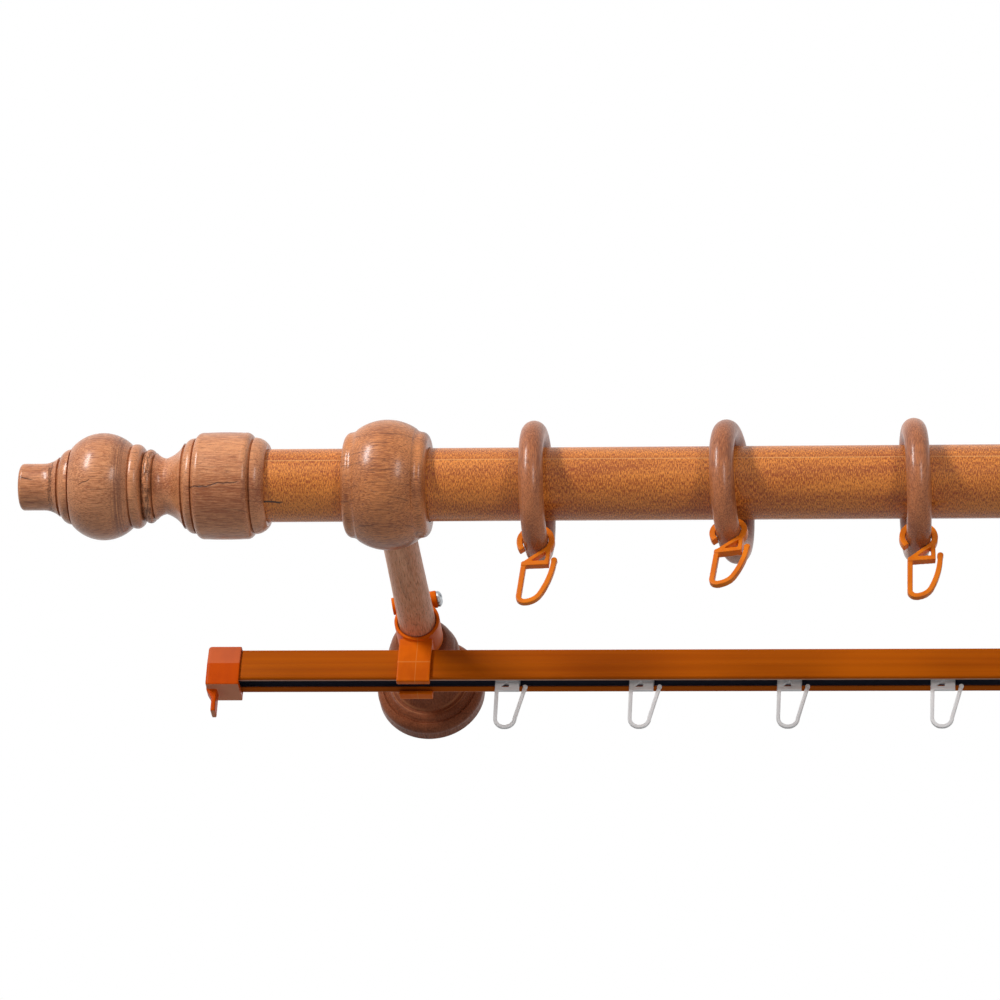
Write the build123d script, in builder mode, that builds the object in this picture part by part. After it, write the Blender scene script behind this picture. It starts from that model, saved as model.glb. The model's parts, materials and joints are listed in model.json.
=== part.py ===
"""Short wooden curtain rod for two curtains: a round pole with rings in front, a rail with gliders behind.

Millimetres. +X runs along the pole, +Y points to the wall, +Z is up.
The origin is the middle of the left bracket's wall face.
"""

import os
from math import atan2, cos, degrees, radians, sin

from build123d import *

os.makedirs("parts", exist_ok=True)

# Play between pieces: wood on wood, moulded pieces on their seats, and pieces that slide or swing
WOOD_PLAY = 0.15
SEAT_PLAY = 0.15
RUNNING_PLAY = 0.3

# Pole
POLE_R = 14.0
POLE_LENGTH = 700.0
WALL_TO_POLE = 160.0

# Finial, turned from one block: the stages run outwards from the rim over the pole
SOCKET_DEPTH = 18.0
FINIAL_LIP = 1.6
END_BEAD_LENGTH = 5.3
END_BEAD_WALL = 4.5
END_BEAD_SWELL = 0.7
BARREL_LENGTH = 22.4
BARREL_WALL = 6.4
BARREL_SHOULDER = 3.4
BARREL_SWELL = 0.2
SHOULDER_DROP = 1.7
SHOULDER_SWELL = 0.6
SHOULDER_BEAD_LENGTH = 4.1
SHOULDER_BEAD_R = 18.3
FLARE_R = 16.4
NECK_R = 10.7
NECK_FLARE_LENGTH = 7.6
NECK_FLARE_HOLLOW = 0.9
NECK_COVE_LENGTH = 4.2
NECK_COVE_HOLLOW = 0.4
NECK_COVE_R = 12.8
SMALL_BEAD_LENGTH = 4.0
SMALL_BEAD_R = 13.3
SMALL_BEAD_SWELL = 0.9
BALL_BEAD_LENGTH = 4.8
BALL_BEAD_SWELL = 0.9
BALL_BEAD_FOOT_R = 14.3
BALL_BEAD_R = 16.0
BALL_LENGTH = 23.4
BALL_R = 20.6
BALL_FOOT_R = 15.6
STUB_BEAD_LENGTH = 4.8
STUB_BEAD_R = 14.5
STUB_BEAD_SWELL = 0.8
STUB_FLARE_LENGTH = 6.6
STUB_FLARE_R = 11.4
STUB_FLARE_HOLLOW = 0.6
STUB_LENGTH = 8.9
STUB_R = 9.0
STUB_ROUND = 1.5
GROOVE_WIDTH = 0.8
GROOVE_DEPTH = 0.7

# Bracket: a loose collar on the pole, a tapered arm and a turned rosette at the wall
BRACKET_INSET = 64.0
COLLAR_PLAY = 0.35
COLLAR_WIDTH = 32.2
COLLAR_RIM_WIDTH = 5.1
COLLAR_RIM_WALL = 5.9
COLLAR_RIM_RISE = 1.3
COLLAR_RIM_SWELL = 0.25
COLLAR_BALL_WALL = 10.6
RIM_ROUND = 3.0
ARM_SOCKET_FLOOR = 2.4
ARM_FRONT_R = 6.8
ARM_BACK_R = 7.6
ARM_WAIST = 0.15
ARM_TIP_LENGTH = 8.0
TENON_R = 6.0
TENON_RECESS = 0.6
BOLT_HOLE_R = 2.6
BOLT_HOLE_DEPTH = 32.0
ROSETTE_LENGTH = 42.0
ROSETTE_R = 21.6
ROSETTE_EDGE = 4.0
ROSETTE_ROLL = 4.5
ROSETTE_ROLL_SWELL = 0.9
ROSETTE_FACE_R = 19.4
ROSETTE_BEAD_WIDTH = 2.6
ROSETTE_BEAD_RISE = 1.2
ROSETTE_BEAD_SWELL = 0.5
ROSETTE_NECK_LENGTH = 13.5
ROSETTE_NECK_R = 14.3
ROSETTE_NECK_STEP = 0.8
ROSETTE_NECK_SWELL = 0.5
ROSETTE_MOUTH_BEAD = 6.4
ROSETTE_MOUTH_BEAD_R = 13.2
ROSETTE_MOUTH_R = 10.2
ROSETTE_SWEEP = 2.2

# Rail: a bent strip with a crease along each side and two lips that turn up into it
RAIL_DEPTH = 11.4
RAIL_TOP_DEPTH = 9.0
RAIL_HEIGHT = 14.4
RAIL_CREASE = 7.0
RAIL_WALL = 0.8
RAIL_LIP_RUN = 3.2
RAIL_LIP_RISE = 1.2
RAIL_BEND = 0.95
RAIL_OVERHANG = 80.5

# Clip that hangs the rail under the arm
CLIP_TO_ROSETTE = 1.5
CLIP_STRAP = 1.3
CLIP_LUG_RISE = 4.8
CLIP_LUG_R = 3.5
CLIP_LUG_NECK = 6.6
CLIP_SPLIT = 3.0
CLIP_LEAN = 11.0
CLIP_WEB = 2.6
JAW_WALL = 1.5
JAW_WIDTH = 13.2
JAW_FRONT_LIP = 1.2
JAW_BACK_LIP = 2.8
SCREW_R = 1.9
SCREW_HEAD_R = 3.2
SCREW_HEAD_HEIGHT = 2.1
SCREW_SLOT = 0.8
SCREW_DOME = 0.5

# End cap of the rail
CAP_GRIP = 10.8
CAP_END = 2.6
CAP_WALL = 0.9
CAP_FLOOR = 2.4
CAP_ROUND = 1.1
TAB_THICK = 1.9
TAB_WIDTH = 6.0
TAB_STEP = 2.4
TAB_SLANT = 4.0
TAB_DROP = 5.9

# Rings and their hooks
RING_FROM_BRACKET = (57.4, 131.6, 200.8)
RING_TURN = (-1.2, -6.8, 4.5)
RING_TILT = (2.0, 1.4, 3.8)
RING_BORE_R = 18.2
RING_SECTION_R = 4.65
HOOK_FORWARD = (3.0, 15.0, 6.0)
HOOK_LEAN = (-1.7, -4.0, -5.0)
HOOK_THICK = 3.0
HOOK_LOOP_THICK = 2.2
HOOK_BAND = 2.3
HOOK_TIP_ANGLE = 216.0
HOOK_NECK_ANGLE = -34.0
HOOK_STRUT = 1.6
HOOK_WIRE = 2.0
HOOK_BAR_DROP = 5.2
HOOK_BAR_LEFT = 4.4
HOOK_BAR_RIGHT = 4.3
HOOK_STEM_SLANT = 1.7
HOOK_STEM_RISE = 2.5
HOOK_LOOP_DROP = 16.8
HOOK_LOOP_LOW = -3.9
HOOK_LEG_FOOT = 2.0
HOOK_LEG_RISE = 3.3
HOOK_LEG_REACH = 7.1
HOOK_TIP_RISE = 1.2
HOOK_TIP_R = 1.2

# Gliders in the rail
GLIDER_FROM_BRACKET = (36.8, 90.0, 148.4, 208.6)
GLIDER_WIDTH = 9.6
GLIDER_THICK = 1.3
GLIDER_DROP = 2.2
GLIDER_EYE = [(-3.0, -0.5), (0.1, 2.2), (0.9, -0.5)]
GLIDER_HEAD_HEIGHT = 3.0
GLIDER_HEAD_MARGIN = 1.0
GLIDER_WIRE = 1.5
GLIDER_LOOP_DROP = 17.0
GLIDER_BEND = 3.9
GLIDER_LEG_FOOT = 3.7
GLIDER_LEG_REACH = 7.2
GLIDER_TIP_RISE = 1.8
GLIDER_TIP_R = 0.95

# Places worked out from the sizes above
POLE_Y = -WALL_TO_POLE
POLE_LEFT = -BRACKET_INSET
POLE_RIGHT = POLE_LEFT + POLE_LENGTH
BRACKET_X = {"left": 0.0, "right": POLE_LENGTH - 2 * BRACKET_INSET}
OUTWARD = {"left": -1, "right": 1}
POLE_END = {"left": POLE_LEFT, "right": POLE_RIGHT}
CLIP_BORE_R = ARM_BACK_R + SEAT_PLAY
CLIP_OUTER_R = CLIP_BORE_R + CLIP_STRAP
RAIL_TOP_Z = -CLIP_OUTER_R - CLIP_WEB - SEAT_PLAY
RAIL_BOTTOM_Z = RAIL_TOP_Z - RAIL_HEIGHT
CLIP_DEPTH = RAIL_DEPTH + 2 * (SEAT_PLAY + JAW_WALL)
RAIL_Y = -ROSETTE_LENGTH - CLIP_TO_ROSETTE - CLIP_DEPTH / 2


def turning_plane(x, outward):
    """Sketch plane for a piece turned about the pole: x runs outwards from the end, y is the radius."""
    return Plane(origin=(x, POLE_Y, 0), x_dir=(outward, 0, 0), z_dir=(0, -outward, 0))


def arm_plane(x):
    """Sketch plane for a piece turned about an arm: x is the distance from the wall, y is the radius."""
    return Plane(origin=(x, 0, 0), x_dir=(0, -1, 0), z_dir=(-1, 0, 0))


def groove(at, before, after):
    """A fine V groove, cut below the smaller of the two radii that it parts."""
    bottom = (at, min(before, after) - GROOVE_DEPTH)
    Line((at - GROOVE_WIDTH / 2, before), bottom)
    Line(bottom, (at + GROOVE_WIDTH / 2, after))


def rail_outline():
    """Corners of the rail's outer section, from the front lip's edge over the top to the back lip."""
    crease_z = RAIL_BOTTOM_Z + RAIL_CREASE
    half = [
        (RAIL_DEPTH / 2 - RAIL_LIP_RUN, RAIL_BOTTOM_Z + RAIL_LIP_RISE),
        (RAIL_DEPTH / 2, RAIL_BOTTOM_Z),
        (RAIL_DEPTH / 2, crease_z),
        (RAIL_TOP_DEPTH / 2, RAIL_TOP_Z),
    ]
    return [(-y, z) for y, z in half] + half[::-1]


def rail_shell():
    """The rail's section as a closed outline with a flat bottom, for the seats around it."""
    return rail_outline()[1:-1]


def write(piece, name):
    piece.label = name
    export_step(piece, f"parts/{name}.step")


# Pole
with BuildPart(Plane(origin=(POLE_LEFT, POLE_Y, 0), z_dir=(1, 0, 0))) as pole:
    Cylinder(POLE_R, POLE_LENGTH, align=(Align.CENTER, Align.CENTER, Align.MIN))
write(pole.part, "pole")

# Finials
for side, outward in OUTWARD.items():
    rim_x = POLE_END[side] - outward * SOCKET_DEPTH
    rim_r = POLE_R + WOOD_PLAY + FINIAL_LIP
    bead_r = POLE_R + END_BEAD_WALL
    barrel_r = POLE_R + BARREL_WALL
    shoulder_r = barrel_r - SHOULDER_DROP
    barrel_at = END_BEAD_LENGTH
    bead_at = barrel_at + BARREL_LENGTH
    barrel_on = barrel_at + BARREL_SHOULDER
    barrel_off = bead_at - BARREL_SHOULDER
    flare_at = bead_at + SHOULDER_BEAD_LENGTH
    neck_at = flare_at + NECK_FLARE_LENGTH
    small_at = neck_at + NECK_COVE_LENGTH
    ball_bead_at = small_at + SMALL_BEAD_LENGTH
    ball_at = ball_bead_at + BALL_BEAD_LENGTH
    ball_top = (ball_at + BALL_LENGTH / 2, BALL_R)
    foot_at = ball_at + BALL_LENGTH
    stub_flare_at = foot_at + STUB_BEAD_LENGTH
    stub_at = stub_flare_at + STUB_FLARE_LENGTH
    tip = stub_at + STUB_LENGTH
    g = GROOVE_WIDTH / 2
    with BuildPart() as finial:
        with BuildSketch(turning_plane(rim_x, outward)):
            with BuildLine():
                Line((0, 0), (0, rim_r))
                SagittaArc((0, rim_r), (barrel_at - g, bead_r), END_BEAD_SWELL)
                groove(barrel_at, bead_r, shoulder_r)
                SagittaArc((barrel_at + g, shoulder_r), (barrel_on, barrel_r), SHOULDER_SWELL)
                SagittaArc((barrel_on, barrel_r), (barrel_off, barrel_r), BARREL_SWELL)
                SagittaArc((barrel_off, barrel_r), (bead_at - g, shoulder_r), SHOULDER_SWELL)
                groove(bead_at, shoulder_r, SHOULDER_BEAD_R)
                SagittaArc((bead_at + g, SHOULDER_BEAD_R), (flare_at - g, FLARE_R), SHOULDER_SWELL)
                groove(flare_at, FLARE_R, FLARE_R)
                SagittaArc((flare_at + g, FLARE_R), (neck_at, NECK_R), -NECK_FLARE_HOLLOW)
                SagittaArc((neck_at, NECK_R), (small_at - g, NECK_COVE_R), -NECK_COVE_HOLLOW)
                groove(small_at, NECK_COVE_R, SMALL_BEAD_R)
                SagittaArc((small_at + g, SMALL_BEAD_R), (ball_bead_at - g, SMALL_BEAD_R), SMALL_BEAD_SWELL)
                groove(ball_bead_at, SMALL_BEAD_R, BALL_BEAD_FOOT_R)
                SagittaArc((ball_bead_at + g, BALL_BEAD_FOOT_R), (ball_at - g, BALL_BEAD_R), BALL_BEAD_SWELL)
                groove(ball_at, BALL_BEAD_R, BALL_BEAD_R)
                ThreePointArc((ball_at + g, BALL_BEAD_R), ball_top, (foot_at - g, BALL_FOOT_R))
                groove(foot_at, BALL_FOOT_R, STUB_BEAD_R)
                SagittaArc((foot_at + g, STUB_BEAD_R), (stub_flare_at - g, STUB_FLARE_R), STUB_BEAD_SWELL)
                groove(stub_flare_at, STUB_FLARE_R, STUB_FLARE_R)
                SagittaArc((stub_flare_at + g, STUB_FLARE_R), (stub_at, STUB_R), -STUB_FLARE_HOLLOW)
                Line((stub_at, STUB_R), (tip - STUB_ROUND, STUB_R))
                RadiusArc((tip - STUB_ROUND, STUB_R), (tip, STUB_R - STUB_ROUND), STUB_ROUND)
                Line((tip, STUB_R - STUB_ROUND), (tip, 0))
                Line((tip, 0), (0, 0))
            make_face()
        revolve(axis=Axis((rim_x, POLE_Y, 0), (1, 0, 0)))
        with BuildSketch(Plane(origin=(rim_x, POLE_Y, 0), z_dir=(outward, 0, 0))):
            Circle(POLE_R + WOOD_PLAY)
        extrude(amount=SOCKET_DEPTH + WOOD_PLAY, mode=Mode.SUBTRACT)
    write(finial.part, f"finial_{side}")

# Brackets
collar_bore = POLE_R + COLLAR_PLAY
arm_tip = WALL_TO_POLE - collar_bore - ARM_SOCKET_FLOOR
for side, x in BRACKET_X.items():
    half = COLLAR_WIDTH / 2
    rim_r = collar_bore + COLLAR_RIM_WALL
    ball_foot = half - COLLAR_RIM_WIDTH
    foot_r = rim_r + COLLAR_RIM_RISE
    ball_r = collar_bore + COLLAR_BALL_WALL
    with BuildPart() as collar:
        with BuildSketch(turning_plane(x, 1)):
            with BuildLine():
                Line((0, collar_bore), (half, collar_bore))
                Line((half, collar_bore), (half, rim_r - RIM_ROUND))
                RadiusArc((half, rim_r - RIM_ROUND), (half - RIM_ROUND, rim_r), -RIM_ROUND)
                SagittaArc((half - RIM_ROUND, rim_r), (ball_foot, foot_r), COLLAR_RIM_SWELL)
                ThreePointArc((ball_foot, foot_r), (0, ball_r), (-ball_foot, foot_r))
                SagittaArc((-ball_foot, foot_r), (RIM_ROUND - half, rim_r), COLLAR_RIM_SWELL)
                RadiusArc((RIM_ROUND - half, rim_r), (-half, rim_r - RIM_ROUND), -RIM_ROUND)
                Line((-half, rim_r - RIM_ROUND), (-half, collar_bore))
                Line((-half, collar_bore), (0, collar_bore))
            make_face()
        revolve(axis=Axis((x, POLE_Y, 0), (1, 0, 0)))
        with BuildSketch(Plane(origin=(x, -arm_tip - WOOD_PLAY, 0), z_dir=(0, 1, 0))):
            Circle(ARM_FRONT_R + WOOD_PLAY)
        extrude(amount=ball_r, mode=Mode.SUBTRACT)
    write(collar.part, f"collar_{side}")

    arm_foot = ROSETTE_LENGTH + WOOD_PLAY
    arm_neck = arm_tip - ARM_TIP_LENGTH
    with BuildPart() as arm:
        with BuildSketch(arm_plane(x)):
            with BuildLine():
                Line((TENON_RECESS, 0), (TENON_RECESS, TENON_R))
                Line((TENON_RECESS, TENON_R), (arm_foot, TENON_R))
                Line((arm_foot, TENON_R), (arm_foot, ARM_BACK_R))
                SagittaArc((arm_foot, ARM_BACK_R), (arm_neck, ARM_FRONT_R), -ARM_WAIST)
                Line((arm_neck, ARM_FRONT_R), (arm_tip, ARM_FRONT_R))
                Line((arm_tip, ARM_FRONT_R), (arm_tip, 0))
                Line((arm_tip, 0), (TENON_RECESS, 0))
            make_face()
        revolve(axis=Axis((x, 0, 0), (0, 1, 0)))
        with BuildSketch(Plane(origin=(x, -TENON_RECESS, 0), z_dir=(0, -1, 0))):
            Circle(BOLT_HOLE_R)
        extrude(amount=BOLT_HOLE_DEPTH, mode=Mode.SUBTRACT)
    write(arm.part, f"arm_{side}")

    bore = TENON_R + WOOD_PLAY
    roll_top = ROSETTE_EDGE + ROSETTE_ROLL
    roll_r = ROSETTE_FACE_R - GROOVE_WIDTH
    bead_r = roll_r - GROOVE_WIDTH
    bead_top = roll_top + ROSETTE_BEAD_RISE
    bead_in = bead_r - ROSETTE_BEAD_WIDTH
    sweep_r = bead_in - GROOVE_WIDTH
    neck_r = ROSETTE_NECK_R - ROSETTE_NECK_STEP
    neck_foot = ROSETTE_LENGTH - ROSETTE_NECK_LENGTH
    neck_at = neck_foot + GROOVE_WIDTH
    mouth_at = ROSETTE_LENGTH - ROSETTE_MOUTH_BEAD
    mouth_r = ROSETTE_MOUTH_BEAD_R
    g = GROOVE_WIDTH / 2
    with BuildPart() as rosette:
        with BuildSketch(arm_plane(x)):
            with BuildLine():
                Line((0, bore), (0, ROSETTE_R))
                Line((0, ROSETTE_R), (ROSETTE_EDGE, ROSETTE_R))
                SagittaArc((ROSETTE_EDGE, ROSETTE_R), (roll_top, ROSETTE_FACE_R), ROSETTE_ROLL_SWELL)
                Line((roll_top, ROSETTE_FACE_R), (roll_top - GROOVE_DEPTH, roll_r))
                Line((roll_top - GROOVE_DEPTH, roll_r), (roll_top, bead_r))
                SagittaArc((roll_top, bead_r), (bead_top, bead_in), ROSETTE_BEAD_SWELL)
                Line((bead_top, bead_in), (bead_top, sweep_r))
                SagittaArc((bead_top, sweep_r), (neck_foot, neck_r), -ROSETTE_SWEEP)
                Line((neck_foot, neck_r), (neck_at, ROSETTE_NECK_R))
                SagittaArc((neck_at, ROSETTE_NECK_R), (mouth_at - g, mouth_r), ROSETTE_NECK_SWELL)
                groove(mouth_at, mouth_r, mouth_r)
                SagittaArc((mouth_at + g, mouth_r), (ROSETTE_LENGTH, ROSETTE_MOUTH_R), ROSETTE_NECK_SWELL)
                Line((ROSETTE_LENGTH, ROSETTE_MOUTH_R), (ROSETTE_LENGTH, bore))
                Line((ROSETTE_LENGTH, bore), (0, bore))
            make_face()
        revolve(axis=Axis((x, 0, 0), (0, 1, 0)))
    write(rosette.part, f"rosette_{side}")

# Rail
rail_left = -RAIL_OVERHANG
rail_right = BRACKET_X["right"] + RAIL_OVERHANG
with BuildPart() as rail:
    with BuildSketch(Plane(origin=(rail_left, RAIL_Y, 0), x_dir=(0, 1, 0), z_dir=(1, 0, 0))):
        with BuildLine():
            FilletPolyline(*rail_outline(), radius=RAIL_BEND)
            offset(amount=RAIL_WALL, side=Side.RIGHT)
        make_face()
    extrude(amount=rail_right - rail_left)
write(rail.part, "rail")

# End caps of the rail
for side, outward in OUTWARD.items():
    end_x = BRACKET_X[side] + outward * (RAIL_OVERHANG + CAP_END)
    section = Plane(origin=(end_x, RAIL_Y, 0), x_dir=(0, 1, 0), z_dir=(1, 0, 0))
    cap_bottom = RAIL_BOTTOM_Z - SEAT_PLAY - CAP_FLOOR
    cap_depth = RAIL_DEPTH + 2 * (SEAT_PLAY + CAP_WALL)
    tab_in = TAB_STEP + TAB_THICK
    tab_top = cap_bottom + CAP_FLOOR
    tab_bend = cap_bottom - TAB_SLANT
    tab_low = tab_bend - TAB_DROP
    tab = [(0, tab_top), (0, cap_bottom), (TAB_STEP, tab_bend), (TAB_STEP, tab_low)]
    tab += [(tab_in, tab_low), (tab_in, tab_top)]
    with BuildPart() as end_cap:
        with BuildSketch(section):
            Polygon(*rail_shell(), align=None)
            offset(amount=SEAT_PLAY + CAP_WALL, kind=Kind.INTERSECTION)
            with Locations((0, (cap_bottom + RAIL_BOTTOM_Z) / 2)):
                Rectangle(cap_depth, RAIL_BOTTOM_Z - cap_bottom)
        extrude(amount=-outward * (CAP_END + CAP_GRIP))
        outer_end = end_cap.faces().sort_by(Axis((end_x, RAIL_Y, 0), (outward, 0, 0)))[-1]
        fillet(outer_end.edges(), radius=CAP_ROUND)
        with BuildSketch(section.offset(-outward * (CAP_END - SEAT_PLAY))):
            Polygon(*rail_shell(), align=None)
            offset(amount=SEAT_PLAY, kind=Kind.INTERSECTION)
        extrude(amount=-outward * (CAP_GRIP + CAP_END), mode=Mode.SUBTRACT)
        with BuildSketch(Plane(origin=(end_x, RAIL_Y, 0), x_dir=(-outward, 0, 0), z_dir=(0, outward, 0))):
            Polygon(*tab, align=None)
        extrude(amount=TAB_WIDTH / 2, both=True)
    write(end_cap.part, f"end_cap_{side}")

# Clips that hang the rail, each a strap round the arm, drawn together by a screw through two lugs above it
lug_z = CLIP_BORE_R + CLIP_LUG_RISE
lug_axis = Vector(cos(radians(CLIP_LEAN)), 0, sin(radians(CLIP_LEAN)))
clip_front = RAIL_Y - CLIP_DEPTH / 2
mouth_front = JAW_FRONT_LIP - RAIL_DEPTH / 2
mouth_back = RAIL_DEPTH / 2 - JAW_BACK_LIP
for side, x in BRACKET_X.items():
    strap_plane = Plane(origin=(x, clip_front, 0), x_dir=lug_axis, z_dir=(0, -1, 0))
    lug_plane = Plane(origin=(x, RAIL_Y, 0), x_dir=(0, 1, 0), z_dir=lug_axis)
    jaw_plane = Plane(origin=(x, RAIL_Y, 0), x_dir=(0, 1, 0), z_dir=(1, 0, 0))
    with BuildPart() as clip:
        with BuildSketch(strap_plane):
            Circle(CLIP_OUTER_R)
        extrude(amount=-CLIP_DEPTH)
        with BuildSketch(lug_plane):
            with Locations((0, lug_z)):
                Circle(CLIP_LUG_R)
        extrude(amount=CLIP_OUTER_R, both=True)
        with BuildSketch(lug_plane):
            with Locations((0, lug_z / 2)):
                Rectangle(2 * CLIP_LUG_R, lug_z)
        extrude(amount=CLIP_LUG_NECK, both=True)
        with BuildSketch(jaw_plane):
            Polygon(*rail_shell(), align=None)
            offset(amount=SEAT_PLAY + JAW_WALL, kind=Kind.INTERSECTION)
            with Locations((0, (RAIL_TOP_Z - CLIP_BORE_R) / 2)):
                Rectangle(RAIL_TOP_DEPTH + 2 * JAW_WALL, -RAIL_TOP_Z - CLIP_BORE_R)
        extrude(amount=JAW_WIDTH / 2, both=True)
        with BuildSketch(strap_plane):
            Circle(CLIP_BORE_R)
            with Locations((0, lug_z)):
                Rectangle(CLIP_SPLIT, 2 * lug_z)
        extrude(amount=-CLIP_DEPTH, mode=Mode.SUBTRACT)
        with BuildSketch(jaw_plane):
            Polygon(*rail_shell(), align=None)
            offset(amount=SEAT_PLAY, kind=Kind.INTERSECTION)
            with Locations(((mouth_front + mouth_back) / 2, RAIL_BOTTOM_Z)):
                Rectangle(mouth_back - mouth_front, 4 * JAW_WALL)
        extrude(amount=JAW_WIDTH, both=True, mode=Mode.SUBTRACT)
        with BuildSketch(lug_plane):
            with Locations((0, lug_z)):
                Circle(SCREW_R + SEAT_PLAY)
        extrude(amount=2 * CLIP_OUTER_R, both=True, mode=Mode.SUBTRACT)
    write(clip.part, f"rail_clip_{side}")

# Clip screws, pan headed, one group
with BuildPart() as clip_screws:
    for x in BRACKET_X.values():
        clip_plane = Plane(origin=(x, RAIL_Y, 0), x_dir=lug_axis, z_dir=(0, -1, 0))
        head_plane = clip_plane.shift_origin(clip_plane.from_local_coords((CLIP_OUTER_R, lug_z)))
        with BuildSketch(head_plane):
            with BuildLine():
                Line((-2 * CLIP_OUTER_R, 0), (-2 * CLIP_OUTER_R, SCREW_R))
                Line((-2 * CLIP_OUTER_R, SCREW_R), (0, SCREW_R))
                Line((0, SCREW_R), (0, SCREW_HEAD_R))
                Line((0, SCREW_HEAD_R), (SCREW_HEAD_HEIGHT / 2, SCREW_HEAD_R))
                SagittaArc((SCREW_HEAD_HEIGHT / 2, SCREW_HEAD_R), (SCREW_HEAD_HEIGHT, 0), SCREW_DOME)
                Line((SCREW_HEAD_HEIGHT, 0), (-2 * CLIP_OUTER_R, 0))
            make_face()
        revolve(axis=head_plane.location.x_axis)
        with BuildSketch(head_plane):
            with Locations((SCREW_HEAD_HEIGHT, 0)):
                Rectangle(SCREW_HEAD_HEIGHT, SCREW_SLOT)
        extrude(amount=SCREW_HEAD_R, both=True, mode=Mode.SUBTRACT)
write(clip_screws.part, "clip_screws")


def along_the_rod(from_bracket):
    """Places along X, counted out from each bracket, left to right."""
    left = [BRACKET_X["left"] + d for d in from_bracket]
    right = [BRACKET_X["right"] - d for d in from_bracket]
    return left + right[::-1]


# Rings, and the hooks that hang on them
ring_centre_r = RING_BORE_R + RING_SECTION_R
ring_z = -(RING_BORE_R - POLE_R - RUNNING_PLAY)
hook_bore = RING_SECTION_R + RUNNING_PLAY
hook_mid = hook_bore + HOOK_BAND / 2
bar_z = -hook_bore - HOOK_BAR_DROP
loop_z = bar_z - HOOK_LOOP_DROP
stem_foot = (-HOOK_BAR_LEFT - HOOK_STEM_SLANT, loop_z + HOOK_STEM_RISE)
leg_tip = (HOOK_LEG_REACH, bar_z + HOOK_TIP_RISE)
hook_neck = (hook_mid * cos(radians(HOOK_NECK_ANGLE)), hook_mid * sin(radians(HOOK_NECK_ANGLE)))

# One hook in its own frame, round the middle of the ring's section
with BuildPart() as hook_form:
    with BuildSketch(Plane.XZ):
        with BuildLine():
            CenterArc((0, 0), hook_mid, HOOK_NECK_ANGLE, HOOK_TIP_ANGLE - HOOK_NECK_ANGLE)
        trace(line_width=HOOK_BAND)
        with BuildLine():
            Line(hook_neck, (-HOOK_BAR_LEFT, bar_z))
        trace(line_width=HOOK_STRUT)
        with BuildLine():
            Line(hook_neck, (HOOK_BAR_RIGHT, bar_z - HOOK_WIRE / 2))
        trace(line_width=HOOK_STRUT)
        with BuildLine():
            Line((-HOOK_BAR_LEFT, bar_z), (HOOK_BAR_RIGHT, bar_z))
        trace(line_width=HOOK_WIRE)
        with Locations((-HOOK_BAR_LEFT, bar_z)):
            Circle(HOOK_WIRE / 2)
        with Locations(hook_neck):
            Circle(HOOK_BAND / 2)
    extrude(amount=HOOK_THICK / 2, both=True)
    with BuildSketch(Plane.XZ):
        with BuildLine():
            stem = Line((-HOOK_BAR_LEFT, bar_z), stem_foot)
            bend = TangentArc(stem @ 1, (HOOK_LOOP_LOW, loop_z), tangent=stem % 1)
            swing = TangentArc(bend @ 1, (HOOK_LEG_FOOT, loop_z + HOOK_LEG_RISE), tangent=bend % 1)
            TangentArc(swing @ 1, leg_tip, tangent=swing % 1)
        trace(line_width=HOOK_WIRE)
        with Locations(leg_tip):
            Circle(HOOK_TIP_R)
    extrude(amount=HOOK_LOOP_THICK / 2, both=True)

balance = hook_form.part.center(CenterOf.MASS)
plumb = degrees(atan2(balance.X, -balance.Z))
ring_places = along_the_rod(RING_FROM_BRACKET)
ring_turns = [*RING_TURN, *(-turn for turn in reversed(RING_TURN))]
ring_tilts = [*RING_TILT, *(-tilt for tilt in reversed(RING_TILT))]
hook_places = [*HOOK_FORWARD, *reversed(HOOK_FORWARD)]
hook_leans = [*HOOK_LEAN, *reversed(HOOK_LEAN)]
for number, x in enumerate(ring_places):
    ring_frame = Location((x, POLE_Y, ring_z), (0, -ring_tilts[number], ring_turns[number]))
    section_frame = ring_frame * Location((0, 0, 0), (-hook_places[number], 0, 0))
    hook_frame = section_frame * Location((0, 0, -ring_centre_r), (0, plumb + hook_leans[number], 0))
    with BuildPart() as ring:
        with BuildSketch(Plane(ring_frame) * Plane.XZ):
            with Locations((0, ring_centre_r)):
                Circle(RING_SECTION_R)
        revolve(axis=Plane(ring_frame).location.x_axis)
    write(ring.part, f"ring_{number + 1}")
    with BuildPart(Plane(hook_frame)) as ring_hook:
        add(hook_form.part)
    write(ring_hook.part, f"ring_hook_{number + 1}")

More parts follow.
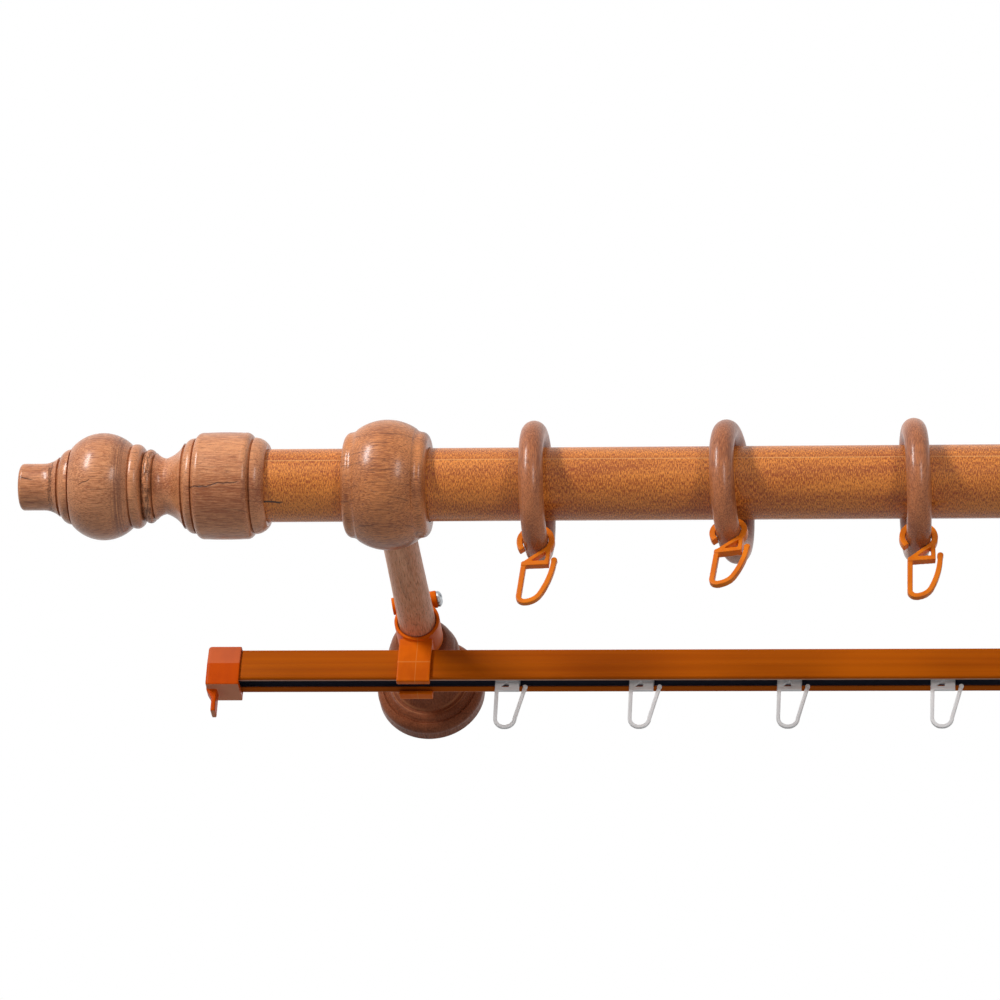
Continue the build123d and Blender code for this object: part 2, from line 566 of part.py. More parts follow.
# Gliders: a head that rides on the rail's lips, an eye plate in the slot and an open loop below it
head_z = RAIL_LIP_RISE + RAIL_WALL / cos(atan2(RAIL_LIP_RISE, RAIL_LIP_RUN)) + RUNNING_PLAY
head_depth = RAIL_DEPTH - 2 * (RAIL_WALL + GLIDER_HEAD_MARGIN)
plate_left = -GLIDER_WIDTH / 2
stem_x = plate_left + GLIDER_WIRE / 2
loop_low = -GLIDER_DROP - GLIDER_LOOP_DROP + GLIDER_WIRE / 2
with BuildPart() as glider_form:
    with BuildSketch(Plane.XZ):
        with Locations((0, (head_z + GLIDER_HEAD_HEIGHT / 2 - GLIDER_DROP) / 2)):
            Rectangle(GLIDER_WIDTH, head_z + GLIDER_HEAD_HEIGHT / 2 + GLIDER_DROP)
        Polygon(*GLIDER_EYE, align=None, mode=Mode.SUBTRACT)
        with BuildLine():
            stem = Line((stem_x, -GLIDER_DROP / 2), (stem_x, loop_low + GLIDER_BEND))
            bend = TangentArc(stem @ 1, (stem_x + GLIDER_BEND, loop_low), tangent=stem % 1)
            swing = TangentArc(bend @ 1, (GLIDER_LEG_FOOT, loop_low + GLIDER_BEND), tangent=bend % 1)
            Line(swing @ 1, (GLIDER_LEG_REACH, -GLIDER_DROP + GLIDER_TIP_RISE))
        trace(line_width=GLIDER_WIRE)
        with Locations((GLIDER_LEG_REACH, -GLIDER_DROP + GLIDER_TIP_RISE)):
            Circle(GLIDER_TIP_R)
    extrude(amount=GLIDER_THICK / 2, both=True)
    with Locations((0, 0, head_z + GLIDER_HEAD_HEIGHT / 2)):
        Box(GLIDER_WIDTH, head_depth, GLIDER_HEAD_HEIGHT)

for number, x in enumerate(along_the_rod(GLIDER_FROM_BRACKET), start=1):
    with BuildPart(Plane((x, RAIL_Y, RAIL_BOTTOM_Z))) as glider:
        add(glider_form.part)
    write(glider.part, f"glider_{number}")
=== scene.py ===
# %% [markdown]
# # A wooden curtain rod for two curtains
# This notebook dresses a curtain rod: a turned wooden pole with rings in front, and a thin metal rail
# with gliders behind it. The shapes come from the CAD frame. Here they get their finishes, the moulded
# pieces get rounded edges, and a camera and lamps are set up to look at the rod from below. Lengths are
# in metres. The rod's two halves mirror each other, so a mark on it is placed by its reach, which is how
# far it lies from the rod's middle.

# %% Load the frame
import json
import math
from types import SimpleNamespace

import bmesh
import bpy
from mathutils import Matrix, Vector

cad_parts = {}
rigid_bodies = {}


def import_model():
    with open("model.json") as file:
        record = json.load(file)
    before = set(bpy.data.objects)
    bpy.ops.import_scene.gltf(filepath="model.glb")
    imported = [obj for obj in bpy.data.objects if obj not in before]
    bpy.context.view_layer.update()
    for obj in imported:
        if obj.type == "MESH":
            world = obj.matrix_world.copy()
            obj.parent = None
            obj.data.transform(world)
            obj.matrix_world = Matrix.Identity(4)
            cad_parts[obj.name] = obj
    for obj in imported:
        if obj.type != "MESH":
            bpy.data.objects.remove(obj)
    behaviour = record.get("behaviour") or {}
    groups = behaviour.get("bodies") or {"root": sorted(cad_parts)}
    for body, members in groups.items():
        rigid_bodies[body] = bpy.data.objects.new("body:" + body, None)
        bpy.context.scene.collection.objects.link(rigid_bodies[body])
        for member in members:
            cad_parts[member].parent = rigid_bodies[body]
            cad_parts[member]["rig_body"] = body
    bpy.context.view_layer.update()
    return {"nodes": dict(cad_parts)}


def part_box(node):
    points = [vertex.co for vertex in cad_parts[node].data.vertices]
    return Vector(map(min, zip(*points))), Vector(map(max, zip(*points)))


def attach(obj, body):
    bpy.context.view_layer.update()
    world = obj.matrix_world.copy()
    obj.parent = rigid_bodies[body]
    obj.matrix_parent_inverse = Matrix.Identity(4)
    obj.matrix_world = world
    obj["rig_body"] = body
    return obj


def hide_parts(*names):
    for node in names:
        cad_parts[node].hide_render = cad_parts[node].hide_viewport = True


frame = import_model()
nodes = frame["nodes"]
pole_low, pole_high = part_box("pole")
MIDDLE_X = (pole_low.x + pole_high.x) / 2
POLE_Y = (pole_low.y + pole_high.y) / 2
POLE_R = (pole_high.z - pole_low.z) / 2
print("pieces in the frame:", len(nodes), "and the pole's radius:", round(POLE_R, 4))

# %% [markdown]
# ## Sums with sockets
# A finish in Blender is a small network of nodes. Written out one by one, the nodes bury the idea under
# wiring. So one class wraps a socket and lets Python's own signs add the Math nodes: a sum such as
# `height * 2 + 1` reads as it would on paper. Every other node comes from the one method `node`.

# %% A socket that can do sums
class Flow:
    """An output socket; each sum done with it adds a node to its tree."""

    def __init__(self, tree, socket=None):
        self.tree = tree
        self.socket = socket

    def node(self, kind, settings=None, inputs=None, out=0):
        made = self.tree.nodes.new("ShaderNode" + kind)
        for name, value in (settings or {}).items():
            setattr(made, name, value)
        for name, value in (inputs or {}).items():
            if isinstance(value, Flow):
                self.tree.links.new(value.socket, made.inputs[name])
            else:
                made.inputs[name].default_value = value
        return Flow(self.tree, made.outputs[out] if made.outputs else None)

    def math(self, operation, *values):
        return self.node("Math", {"operation": operation}, dict(enumerate(values)))

    def __add__(self, other):
        return self.math("ADD", self, other)

    def __sub__(self, other):
        return self.math("SUBTRACT", self, other)

    def __rsub__(self, other):
        return self.math("SUBTRACT", other, self)

    def __mul__(self, other):
        return self.math("MULTIPLY", self, other)

    def __truediv__(self, other):
        return self.math("DIVIDE", self, other)

    def __rtruediv__(self, other):
        return self.math("DIVIDE", other, self)

    def __abs__(self):
        return self.math("ABSOLUTE", self)

    __radd__ = __add__
    __rmul__ = __mul__

    def rise(self, low, high):
        """0 at low, 1 at high and a soft step between; low may be the larger one."""
        ends = {"Value": self, "From Min": low, "From Max": high}
        return self.node("MapRange", {"interpolation_type": "SMOOTHSTEP"}, ends)

    def within(self, low, high, soft):
        """1 between low and high, with a soft step of that width on either side of each end."""
        return self.rise(low - soft, low + soft) * self.rise(high + soft, high - soft)

    def mix(self, first, second):
        """The first colour where this is 0 and the second where it is 1."""
        return self.node("Mix", {"data_type": "RGBA"}, {0: self, 6: first, 7: second}, 2)

    def part(self, axis):
        return self.node("SeparateXYZ", None, {0: self}, axis.upper())

    def stretch(self, x, y, z):
        return self.node("VectorMath", {"operation": "MULTIPLY"}, {0: self, 1: (x, y, z)})

    def noise(self, x, y, z, detail=2.0, rough=0.5):
        """Noise with so many blotches to the metre along x, y and z, from 0 to 1."""
        knobs = {"Vector": self.stretch(x, y, z), "Scale": 1.0, "Detail": detail, "Roughness": rough}
        return self.node("TexNoise", None, knobs)


print("a socket can now do:", [name for name in vars(Flow) if not name.startswith("__")])

# %% [markdown]
# ## Open and close a finish
# Every finish starts as an empty tree and ends in one Principled shader. Colours are written as they are
# read off a screen, which is how a maker picks them, and turned into the linear light that a shader
# works in. A bump has its depth in metres, so that it stays as deep as on the real surface.

# %% Colours and finishes
def screen(red, green, blue):
    """A colour as read off a screen, from 0 to 255, turned into linear light by the sRGB rule."""
    def linear(value):
        value = value / 255
        return value / 12.92 if value <= 0.04045 else ((value + 0.055) / 1.055) ** 2.4
    return (linear(red), linear(green), linear(blue), 1.0)


def empty_tree(owner):
    """Clear the tree of a material or a world, and start sums in it."""
    owner.use_nodes = True
    owner.node_tree.nodes.clear()
    return Flow(owner.node_tree)


def new_finish(name):
    """A material with an empty tree, the start of its sums, and the place of each point."""
    material = bpy.data.materials.new(name)
    flow = empty_tree(material)
    return material, flow, flow.node("TexCoord", out="Object")


def close_finish(flow, looks, height, depth):
    """Join the looks, and a bump of that depth, to the shader and the output."""
    looks["Normal"] = flow.node("Bump", None, {"Height": height, "Distance": depth, "Strength": 1.0})
    shader = flow.node("BsdfPrincipled", None, looks)
    flow.node("OutputMaterial", None, {"Surface": shader})


print("mid grey on a screen is this much light:", round(screen(128, 128, 128)[0], 3))

# %% [markdown]
# ## Stained wood grain
# The finials, collars, arms, rosettes and rings are turned from beech and stained brown. Three things
# tell the eye that it is wood. Growth rings of the tree show as thin darker lines along the grain, and
# they come and go. Short dark flecks lie along the grain too, over a weave of fine fibres and specks.
# Broad soft patches take more or less stain. Each of these is a noise that is stretched along the grain,
# apart from the growth rings, which are measured out from the heart of the trunk.

# %% Wood grain
ALONG_AND_ACROSS = {"patches": (14, 70), "drift": (10, 60), "breaks": (60, 220),
                    "fibres": (200, 2300), "flecks": (380, 3000), "specks": (2400, 2400)}
TRUNK_HEART = {"x": 0.030, "y": -0.150, "z": -0.130}
GROWTH_GAP = 0.0042
GROWTH_DRIFT = 1.8
WOOD_DARK = screen(74, 36, 20)
SPECK_STRENGTH = 0.30
FLECK_STRENGTH = 0.36


def wood_grain(flow, place, grain):
    """Patches, growth lines, fibres, flecks and specks, for a grain that runs along x, y or z."""
    def blotches(kind, detail=2.0, rough=0.5):
        along, across = ALONG_AND_ACROSS[kind]
        scales = [along if axis == grain else across for axis in "xyz"]
        return place.noise(*scales, detail=detail, rough=rough)
    sides = [place.part(axis) - TRUNK_HEART[axis] for axis in "xyz" if axis != grain]
    trunk = flow.math("SQRT", sides[0] * sides[0] + sides[1] * sides[1])
    growth = flow.math("FRACT", trunk / GROWTH_GAP + blotches("drift") * GROWTH_DRIFT)
    lines = growth.rise(0.80, 0.96) * growth.rise(1.0, 0.96)
    return SimpleNamespace(
        patches=blotches("patches", detail=3),
        lines=lines * blotches("breaks").rise(0.44, 0.60),
        fibres=blotches("fibres", detail=3, rough=0.7),
        flecks=blotches("flecks", detail=1).rise(0.58, 0.70),
        specks=blotches("specks").rise(0.45, 0.72))


def wood_colour(wood, light, deep, line_strength):
    """The stain from light to deep, with specks, growth lines and flecks over it."""
    colour = (wood.patches * 0.7 + wood.fibres * 1.1).rise(0.66, 1.14).mix(light, deep)
    colour = (wood.specks * SPECK_STRENGTH).mix(colour, deep)
    colour = (wood.lines * line_strength).mix(colour, WOOD_DARK)
    return (wood.flecks * FLECK_STRENGTH).mix(colour, WOOD_DARK)


print("blotches to the metre, along and across the grain:", ALONG_AND_ACROSS)

# %% [markdown]
# ## Four turned woods
# Each piece was turned with the grain along its own axis, so the finish is made once for each direction:
# the collars along the pole, the arms and rosettes toward the wall, the rings upright. The collars and
# rings have the full satin lacquer and the bracket's back pieces a thin, dull one. On the rosette thin
# rings at the sharp turned edges, which are circles round the arm's axis, are painted lighter in places.

# %% Turned wood
LACQUER = {"Specular IOR Level": 0.26, "Coat Weight": 0.30, "Coat Roughness": 0.19}
THIN_LACQUER = {"Specular IOR Level": 0.10, "Coat Weight": 0.03, "Coat Roughness": 0.30}
GRAIN_DEPTH = 0.00007
ROSETTE_EDGES = (0.0156, 0.0140)
EDGE_HALF_WIDTH = 0.0001
EDGE_SOFTNESS = 0.0004
EDGE_LIGHTENING = 0.60
WOOD_LIGHT = screen(228, 156, 107)


def rubbed(flow, place, wood, colour, edges):
    """Edges of those radii round the arm's axis, painted lighter here and there."""
    for radius in edges:
        out = abs(place.part("x") - MIDDLE_X) - MIDDLE_X
        from_arm = flow.math("SQRT", out * out + place.part("z") * place.part("z"))
        edge = from_arm.within(radius - EDGE_HALF_WIDTH, radius + EDGE_HALF_WIDTH, EDGE_SOFTNESS)
        # Thin rings round the arm's axis are painted lighter here.
        colour = (edge * wood.patches.rise(0.30, 0.55) * EDGE_LIGHTENING).mix(colour, WOOD_LIGHT)
    return colour


def turned_wood(name, grain, light, deep, line_strength, lacquer, edges=()):
    material, flow, place = new_finish(name)
    wood = wood_grain(flow, place, grain)
    colour = wood_colour(wood, light, deep, line_strength)
    colour = rubbed(flow, place, wood, colour, edges)
    looks = {"Base Color": colour, "Roughness": 0.28 + wood.fibres * 0.20 + wood.flecks * 0.15}
    looks.update(lacquer)
    close_finish(flow, looks, wood.fibres * 0.6 - wood.flecks, GRAIN_DEPTH)
    return material


collar_wood = turned_wood("collar_wood", "x", screen(222, 142, 84), screen(136, 70, 34), 0.55, LACQUER)
arm_wood = turned_wood("arm_wood", "y", screen(248, 186, 148), screen(208, 138, 102), 0.25, THIN_LACQUER)
# The rosette's stain is darker than the arm's: partly its end grain, which takes more stain, and partly
# painted shade for the rail's shadow over it.
rosette_wood = turned_wood("rosette_wood", "y", screen(158, 92, 60), screen(118, 62, 36), 0.25,
                           THIN_LACQUER, ROSETTE_EDGES)
ring_wood = turned_wood("ring_wood", "z", screen(198, 121, 74), screen(134, 70, 37), 0.15, LACQUER)
print("turned woods:", collar_wood.name, arm_wood.name, rosette_wood.name, ring_wood.name)

# %% [markdown]
# ## The finial
# A finial has been handled and knocked, and its end grain dries first. So besides the grain it has a few
# thin drying cracks, a burnt band on the ball where the gouge rubbed, and torn fibres on the narrow
# beads. Its grooves are painted darker, a painted shade for the shadow that lies in them. Each mark is
# placed by its reach and by its angle round the pole's axis.

# %% Finial wood
WOOD_DEEP = screen(157, 87, 50)
GROOVES = (0.3373, 0.3597, 0.3638, 0.3756, 0.3796, 0.3844, 0.4078, 0.4126)
GROOVE_HALF_WIDTH = 0.0002
GROOVE_SOFTNESS = 0.0005
BURNT_BAND = (0.3860, 0.3900)
BURNT_SOFTNESS = 0.0016
TORN_BEADS = ((0.3758, 0.3796), (0.4146, 0.4162))
TORN_SOFTNESS = 0.0004
CRACK_SOFTNESS = 0.0012
FINIAL_DEPTH = 0.00022
FINIAL_CRACKS = (
    {"start": 0.3410, "end": 0.3600, "angle": -27, "lean": -6, "radius": 0.021, "width": 0.00030},
    {"start": 0.3980, "end": 0.4020, "angle": -24, "lean": -4, "radius": 0.020, "width": 0.00024},
    {"start": 0.4225, "end": 0.4275, "angle": -14, "lean": 8, "radius": 0.009, "width": 0.00026})


def around_pole(flow, place):
    """A point's reach from the rod's middle, and its angle round the pole, 0 at the front."""
    reach = abs(place.part("x") - MIDDLE_X)
    turn = flow.math("ARCTAN2", place.part("z"), POLE_Y - place.part("y"))
    return reach, turn


def crack(place, reach, turn, start, end, angle, lean, radius, width):
    """A thin split from start to end, at an angle in degrees that leans on its way out."""
    wander = (place.noise(260, 40, 40) - 0.5) * 0.10
    middle = (reach - start) * (math.radians(lean) / (end - start)) + math.radians(angle)
    across = abs(turn - middle + wander) * radius
    return across.rise(width, width * 0.3) * reach.within(start, end, CRACK_SOFTNESS)


# Painted shade: a dark band at each groove, for the shadow that lies in it.
def soil_in_grooves(reach):
    bands = [(groove - GROOVE_HALF_WIDTH, groove + GROOVE_HALF_WIDTH) for groove in GROOVES]
    return sum(reach.within(*band, GROOVE_SOFTNESS) for band in bands)


def finial_wood():
    material, flow, place = new_finish("finial_wood")
    wood = wood_grain(flow, place, "x")
    reach, turn = around_pole(flow, place)
    burnt = reach.within(*BURNT_BAND, BURNT_SOFTNESS) * place.noise(1500, 50, 50).rise(0.30, 0.62)
    torn = place.noise(1500, 380, 380, detail=3, rough=0.7).rise(0.48, 0.64)
    torn = torn * sum(reach.within(*bead, TORN_SOFTNESS) for bead in TORN_BEADS)
    splits = sum(crack(place, reach, turn, **mark) for mark in FINIAL_CRACKS)
    colour = wood_colour(wood, WOOD_LIGHT, WOOD_DEEP, 0.30)
    # The grooves get a painted shade.
    colour = (soil_in_grooves(reach) * 0.32).mix(colour, WOOD_DARK)
    colour = (burnt * 0.62).mix(colour, screen(98, 50, 34))
    colour = (torn * 0.42).mix(colour, screen(84, 44, 28))
    colour = (splits * 0.75).mix(colour, screen(60, 30, 20))
    roughness = 0.28 + wood.fibres * 0.16 + wood.flecks * 0.12 + torn * 0.3
    looks = {"Base Color": colour, "Roughness": roughness}
    looks.update(LACQUER)
    height = wood.fibres * 0.12 - wood.flecks * 0.22 - splits * 1.5 - torn * 2.8
    close_finish(flow, looks, height, FINIAL_DEPTH)
    return material


turned_end_wood = finial_wood()
print("finial wood with marks:", turned_end_wood.name)

# %% [markdown]
# ## The pole
# The pole is a long dowel of another wood: golden, with a dense speckle of short rays that run round it
# rather than along it. A thin pale line is painted along its whole length, under a darker band. The
# speckle is laid on the pole's unrolled skin, whose second direction is the angle times the radius, so
# the rays keep their size all the way round.

# %% Pole wood
PALE_LINE_ANGLE = 0.19
BAND_ABOVE_LINE = (0.21, 0.30)
BAND_SOFTNESS = 0.02
POLE_CRACK = {"start": 0.325, "end": 0.333, "angle": -59.5, "lean": 2, "radius": POLE_R, "width": 0.0006}


def pole_wood():
    material, flow, place = new_finish("pole_wood")
    reach, turn = around_pole(flow, place)
    skin = flow.node("CombineXYZ", None, {0: place.part("x"), 1: turn * POLE_R, 2: 0.0})
    patches = skin.noise(18, 130, 1, detail=3)
    rays = skin.noise(2500, 700, 1, detail=3, rough=0.75)
    fine = skin.noise(3200, 1100, 1, detail=1).rise(0.52, 0.68)
    pale_line = (abs(turn - PALE_LINE_ANGLE) * POLE_R).rise(0.00032, 0.00012)
    band = turn.within(*BAND_ABOVE_LINE, BAND_SOFTNESS)
    split = crack(place, reach, turn, **POLE_CRACK)
    stain = (rays * 1.5 + patches * 0.4).rise(0.76, 1.14)
    colour = stain.mix(screen(242, 151, 64), screen(152, 68, 20))
    colour = (fine * 0.46).mix(colour, screen(108, 45, 14))
    colour = (pale_line * 0.5).mix(colour, screen(236, 174, 108))
    colour = (band * 0.25).mix(colour, screen(150, 70, 34))
    colour = (split * 0.95).mix(colour, screen(30, 18, 14))
    looks = {"Base Color": colour, "Roughness": 0.36 + rays * 0.16}
    looks.update(LACQUER)
    close_finish(flow, looks, rays * 0.4 - split * 2.0, GRAIN_DEPTH)
    return material


dowel_wood = pole_wood()
print("pole wood:", dowel_wood.name)

# %% [markdown]
# ## Moulded plastic
# The hooks, clips and end caps are moulded in a wood-coloured plastic, the gliders in white. Plastic is
# even in colour, so what keeps it from looking like paint on a screen is small: a slow drift in tint,
# faint flow marks from the mould and a fine orange-peel in the gloss. The clip's mould was closed in
# front of the jaw and left a thin line there, and the jaw's crease is rubbed pale. The caps get a painted
# reflection: the faces that lean up and the underside are painted paler, chosen by a face's direction.

# %% Plastics
PEEL_DEPTH = 0.00002
JAW_LINE_REACH = 0.2852
JAW_CREASE_HEIGHT = -0.01907
# Painted reflection: the pale colour painted on the caps' up-leaning faces and undersides.
SHEEN_COLOUR = screen(240, 192, 156)
CAP_SHEEN = 0.12
UNDERSIDE_SHEEN = 4.0


def rubbed_jaw(flow, place, colour):
    upright = abs(abs(place.part("x") - MIDDLE_X) - JAW_LINE_REACH).rise(0.00022, 0.00008)
    across = abs(place.part("z") - JAW_CREASE_HEIGHT).rise(0.00040, 0.00015)
    line = flow.math("MAXIMUM", upright, across)
    return (line * 0.35).mix(colour, screen(240, 160, 84))


def dusted(flow, colour, strength):
    # Painted reflection: faces that lean up, and the underside, are painted paler.
    lean = flow.node("NewGeometry", out="Normal").part("z")
    sheen_mask = lean.within(0.08, 0.40, 0.03) + lean.rise(-0.7, -0.9) * UNDERSIDE_SHEEN
    return (sheen_mask * strength).mix(colour, SHEEN_COLOUR)


def moulded(name, tint, shade, gloss, shine, sheen=0.0, jaw=False):
    material, flow, place = new_finish(name)
    drift = place.noise(60, 60, 90, detail=3)
    streaks = place.noise(260, 260, 60)
    peel = place.noise(1500, 1500, 1500, detail=1)
    colour = (drift * 0.7 + streaks * 0.5).rise(0.35, 0.85).mix(tint, shade)
    if jaw:
        colour = rubbed_jaw(flow, place, colour)
    if sheen:
        colour = dusted(flow, colour, sheen)
    looks = {"Base Color": colour, "Roughness": gloss + streaks * 0.14, "Specular IOR Level": shine}
    close_finish(flow, looks, peel, PEEL_DEPTH)
    return material


hook_plastic = moulded("hook_plastic", screen(234, 126, 20), screen(212, 102, 10), 0.28, 0.18)
clip_plastic = moulded("clip_plastic", screen(240, 114, 10), screen(220, 96, 4), 0.30, 0.06, jaw=True)
# The caps carry a painted reflection on their up-leaning faces and undersides.
cap_plastic = moulded("cap_plastic", screen(208, 80, 4), screen(192, 68, 2), 0.28, 0.04, sheen=CAP_SHEEN)
glider_plastic = moulded("glider_plastic", screen(249, 249, 249), screen(238, 238, 239), 0.34, 0.30)
print("plastics:", hook_plastic.name, clip_plastic.name, cap_plastic.name, glider_plastic.name)

# %% [markdown]
# ## The rail and the screws
# The rail is a bent strip of steel, stove-enamelled in an orange-brown. Rolling leaves faint streaks along
# it. The undersides of the turned-up lips are painted pale, a painted highlight for the line of light
# their edges catch. Its inside never sees the light and holds dust, so it is nearly black. The inside is
# found from the shape itself: a face belongs to it when it looks toward the middle of the section. The
# screws are plated with zinc, which is bright but cloudy.

# %% Rail enamel and zinc
RAIL_MIDDLE = (0.0, -0.05085, -0.0190)
LIP_TOP = -0.0242
STREAK_DEPTH = 0.00003
BLOOM_DEPTH = 0.00002


def rail_enamel():
    material, flow, place = new_finish("rail_enamel")
    facing = flow.node("NewGeometry", out="Normal")
    from_middle = flow.node("VectorMath", {"operation": "SUBTRACT"}, {0: place, 1: RAIL_MIDDLE})
    in_section = from_middle.stretch(0.0, 1.0, 1.0)
    outward = flow.node("VectorMath", {"operation": "DOT_PRODUCT"}, {0: in_section, 1: facing}, "Value")
    height = place.part("z")
    inside = outward.rise(0.0002, -0.0002) * height.rise(LIP_TOP - 0.0006, LIP_TOP)
    # Painted highlight: the undersides of the lips, where their edges catch a line of light.
    lip_glint = facing.part("y").rise(0.10, 0.35) * height.rise(LIP_TOP, LIP_TOP - 0.0004)
    lip_glint = lip_glint * facing.part("z").rise(-0.5, -0.8)
    streaks = place.noise(5, 700, 700, detail=3)
    drift = place.noise(14, 60, 60)
    shade = (streaks * 0.4 + drift * 0.7).rise(0.30, 0.85)
    colour = shade.mix(screen(192, 94, 4), screen(160, 70, 2))
    # The lips' undersides get a painted highlight in a pale grey.
    colour = (lip_glint * 0.7).mix(colour, screen(214, 186, 166))
    colour = inside.mix(colour, screen(92, 96, 116))
    looks = {"Base Color": colour, "Roughness": 0.30 + streaks * 0.12 + inside * 0.3}
    looks["Specular IOR Level"] = 0.05
    close_finish(flow, looks, streaks, STREAK_DEPTH)
    return material


def bright_zinc():
    material, flow, place = new_finish("bright_zinc")
    bloom = place.noise(900, 900, 900, detail=3)
    colour = bloom.rise(0.3, 0.7).mix(screen(196, 198, 200), screen(150, 153, 158))
    looks = {"Base Color": colour, "Metallic": 1.0, "Roughness": 0.22 + bloom * 0.2}
    close_finish(flow, looks, bloom, BLOOM_DEPTH)
    return material


strip_enamel = rail_enamel()
screw_zinc = bright_zinc()
print("metals:", strip_enamel.name, screw_zinc.name)

# %% [markdown]
# ## Dress the wooden pieces
# The wooden pieces and the rail keep their CAD shape: a lathe and a rolling mill leave clean forms. Only
# the materials in their slots are exchanged.

# %% Wood and enamel onto the frame
SIDES = ("left", "right")
RING_NUMBERS = range(1, 7)
finishes = {"pole": dowel_wood, "rail": strip_enamel}
for side in SIDES:
    finishes["finial_" + side] = turned_end_wood
    finishes["collar_" + side] = collar_wood
    finishes["arm_" + side] = arm_wood
    finishes["rosette_" + side] = rosette_wood
for number in RING_NUMBERS:
    finishes["ring_" + str(number)] = ring_wood
for name, finish in finishes.items():
    slots = nodes[name].data.materials
    for index in range(len(slots)):
        slots[index] = finish
print("dressed from the frame:", len(finishes))

# %% [markdown]
# ## Round the moulded edges
# No moulded or cut piece has a knife edge. A rounded edge catches a line of light, and that line is what
# makes a small plastic hook look real. A Bevel modifier is the usual way, but these pieces have corners
# where short arcs meet, and there it has to shrink its width to almost nothing. So each piece gets a new
# skin instead: Remesh wraps its CAD shape in small cells, Smooth rubs the skin down as tumbling does,
# Decimate takes out the cells that flat faces don't need, and Weighted Normal keeps those faces flat.

# %% Rounded copies of the moulded pieces
GLIDER_NUMBERS = range(1, 9)
WELD = 0.000002
SKINS = {
    "hook": {"cell": 0.00020, "passes": 8, "kept": 0.30},
    "glider": {"cell": 0.00020, "passes": 5, "kept": 0.30},
    "clip": {"cell": 0.00025, "passes": 5, "kept": 0.25},
    "cap": {"cell": 0.00025, "passes": 14, "kept": 0.20},
    "screw": {"cell": 0.00020, "passes": 4, "kept": 0.30}}


def welded_copy(name):
    """A node's faces as a new mesh, with the points that neighbouring faces share joined."""
    source = nodes[name].data
    mesh = bpy.data.meshes.new(name + "_rounded")
    mesh.from_pydata([v.co for v in source.vertices], [], [list(p.vertices) for p in source.polygons])
    shape = bmesh.new()
    shape.from_mesh(mesh)
    bmesh.ops.remove_doubles(shape, verts=shape.verts, dist=WELD)
    shape.to_mesh(mesh)
    shape.free()
    return mesh


def new_skin(piece, cell, passes, kept):
    """The piece's mesh in cells of that size, rubbed down, with that share of its faces kept."""
    skin = piece.modifiers.new("new_skin", "REMESH")
    skin.mode = "VOXEL"
    skin.voxel_size = cell
    skin.use_smooth_shade = True
    rub = piece.modifiers.new("rub_down", "SMOOTH")
    rub.factor = 0.5
    rub.iterations = passes
    thin_out = piece.modifiers.new("thin_out", "DECIMATE")
    thin_out.ratio = kept
    piece.modifiers.new("even_light", "WEIGHTED_NORMAL")
    bpy.context.view_layer.update()
    finished = piece.evaluated_get(bpy.context.evaluated_depsgraph_get())
    return bpy.data.meshes.new_from_object(finished)


def rounded(name, finish, skin):
    """Replace a node by its rounded copy, and say how many faces that has."""
    mesh = welded_copy(name)
    mesh.materials.append(finish)
    piece = bpy.data.objects.new(name + "_rounded", mesh)
    bpy.context.scene.collection.objects.link(piece)
    applied = new_skin(piece, **SKINS[skin])
    piece.modifiers.clear()
    piece.data = applied
    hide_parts(name)
    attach(piece, nodes[name]["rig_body"])
    return len(applied.polygons)


for number in RING_NUMBERS:
    count = rounded("ring_hook_" + str(number), hook_plastic, "hook")
print("faces in a hook:", count)
for number in GLIDER_NUMBERS:
    count = rounded("glider_" + str(number), glider_plastic, "glider")
print("faces in a glider:", count)
for side in SIDES:
    count = rounded("rail_clip_" + side, clip_plastic, "clip")
    print("faces in a clip:", count)
    count = rounded("end_cap_" + side, cap_plastic, "cap")
    print("faces in an end cap:", count)
count = rounded("clip_screws", screw_zinc, "screw")
print("faces in the screws:", count)

# %% [markdown]
# ## Camera
# The photographer stood well back, below the rod and a little to the right, with a long lens, so lines
# that run together in space stay nearly parallel. The camera is set by those angles and a small roll. It
# looks at the pole by the left bracket, and then steps aside so that this point lands off the middle of
# the picture, by so many pixels of a picture that is 1000 wide.

# %% A long lens from below
LENS_MM = 198
SENSOR_MM = 36
STAND_OFF = 2.10
AZIMUTH = math.radians(7.3)
ELEVATION = math.radians(-31.5)
ROLL = math.radians(3.5)
LOOK_AT = Vector((0.0, POLE_Y, 0.0))
PICTURE_PIXELS = 1000
PIXELS_ASIDE = 112
PIXELS_DOWN = 15

lens_pixels = LENS_MM / SENSOR_MM * PICTURE_PIXELS
back = Vector((math.sin(AZIMUTH), -math.cos(AZIMUTH), math.tan(ELEVATION))).normalized()
level = (-back).cross(Vector((0, 0, 1))).normalized()
plumb = level.cross(-back)
right = math.cos(ROLL) * level + math.sin(ROLL) * plumb
up = math.cos(ROLL) * plumb - math.sin(ROLL) * level
aside = PIXELS_ASIDE / lens_pixels * right - PIXELS_DOWN / lens_pixels * up
spot = LOOK_AT + STAND_OFF * (back + aside)
camera = bpy.data.objects.new("camera", bpy.data.cameras.new("camera"))
camera.data.lens = LENS_MM
camera.data.sensor_width = SENSOR_MM
axes = Matrix((right, up, back)).transposed()
camera.matrix_world = Matrix.Translation(spot) @ axes.to_4x4()
bpy.context.scene.collection.objects.link(camera)
bpy.context.scene.camera = camera
bpy.context.scene.view_settings.view_transform = "Standard"
print("camera at", [round(value, 3) for value in spot])

# %% [markdown]
# ## Soft boxes
# Two soft boxes stand in front, as for a catalogue photo, one high on the left and one lower on the
# right. They leave soft upright lights on the turned wood, and the left one is narrow, so the collar and
# the rings shade the pole beside them. A third, weaker one stands behind, so that the wall side isn't left
# in the dark, and shiny faces don't see it, so it leaves no glints on the rims.

# %% Lamps
LAMP_DISTANCE = 1.6


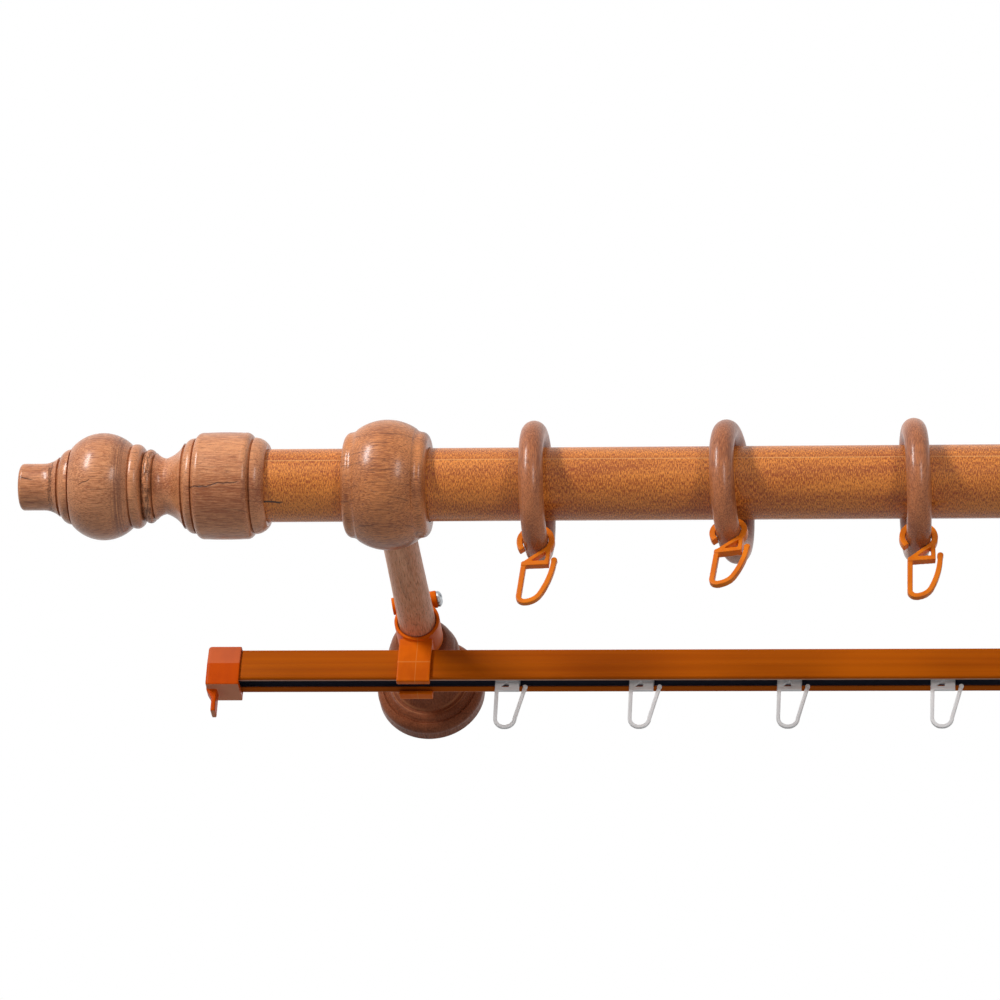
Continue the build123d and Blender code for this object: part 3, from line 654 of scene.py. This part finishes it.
def soft_box(name, direction, power, width, height):
    lamp = bpy.data.lights.new(name, "AREA")
    lamp.energy = power
    lamp.shape = "RECTANGLE"
    lamp.size = width
    lamp.size_y = height
    holder = bpy.data.objects.new(name, lamp)
    away = Vector(direction).normalized()
    holder.location = LOOK_AT + away * LAMP_DISTANCE
    holder.rotation_euler = away.to_track_quat("Z", "Y").to_euler()
    bpy.context.scene.collection.objects.link(holder)
    return holder


soft_box("lamp_left", (-0.56, -0.70, 0.45), 22.0, 0.22, 0.80)
soft_box("lamp_right", (0.51, -0.84, 0.02), 6.5, 0.25, 0.70)
wall_fill = soft_box("lamp_back", (0.20, 0.90, 0.30), 7.0, 0.50, 0.90)
wall_fill.visible_glossy = False
print("lamps:", [lamp.name for lamp in bpy.data.lights])

# %% [markdown]
# ## A white room
# The camera and shiny faces see pure white around the rod, while the light that falls on it keeps to a
# plain level. A Light Path node tells the two apart. The floor is a wide sheet of paper, as far below as
# under a real curtain, and it glows a little less than white, so that it still takes a shadow.

# %% Room and floor
WHITE = (1.0, 1.0, 1.0, 1.0)
PAPER = (0.80, 0.80, 0.80, 1.0)
SKY_LEVEL = 0.24
FLOOR_GLOW = 0.8
FLOOR_LEVEL = -2.4
FLOOR_REACH = 40.0
CORNERS = ((-1, -1), (1, -1), (1, 1), (-1, 1))
RAYS_SEEN = ("Is Camera Ray", "Is Glossy Ray", "Is Transmission Ray")


def seen_directly(flow):
    """1 for the camera's own rays and for those seen in shiny or clear faces."""
    return flow.math("MINIMUM", sum(flow.node("LightPath", out=ray) for ray in RAYS_SEEN), 1.0)


room = bpy.data.worlds.new("white_room")
bpy.context.scene.world = room
air = empty_tree(room)
sky = seen_directly(air) * (1 - SKY_LEVEL) + SKY_LEVEL
glow = air.node("Background", None, {"Color": WHITE, "Strength": sky})
air.node("OutputWorld", None, {"Surface": glow})

sheet = bpy.data.meshes.new("floor")
corners = [(side_x * FLOOR_REACH, side_y * FLOOR_REACH, FLOOR_LEVEL) for side_x, side_y in CORNERS]
sheet.from_pydata(corners, [], [range(len(CORNERS))])
floor = bpy.data.objects.new("floor", sheet)
bpy.context.scene.collection.objects.link(floor)
paper = bpy.data.materials.new("floor_paper")
flow = empty_tree(paper)
white = flow.node("Emission", None, {"Color": WHITE, "Strength": 1.0})
matt = flow.node("BsdfDiffuse", None, {"Color": PAPER})
sheet_look = flow.node("MixShader", None, {0: seen_directly(flow) * FLOOR_GLOW, 1: matt, 2: white})
flow.node("OutputMaterial", None, {"Surface": sheet_look})
sheet.materials.append(paper)
print("the room is", room.name, "and the floor is", 2 * FLOOR_REACH, "m wide")

# %% [markdown]
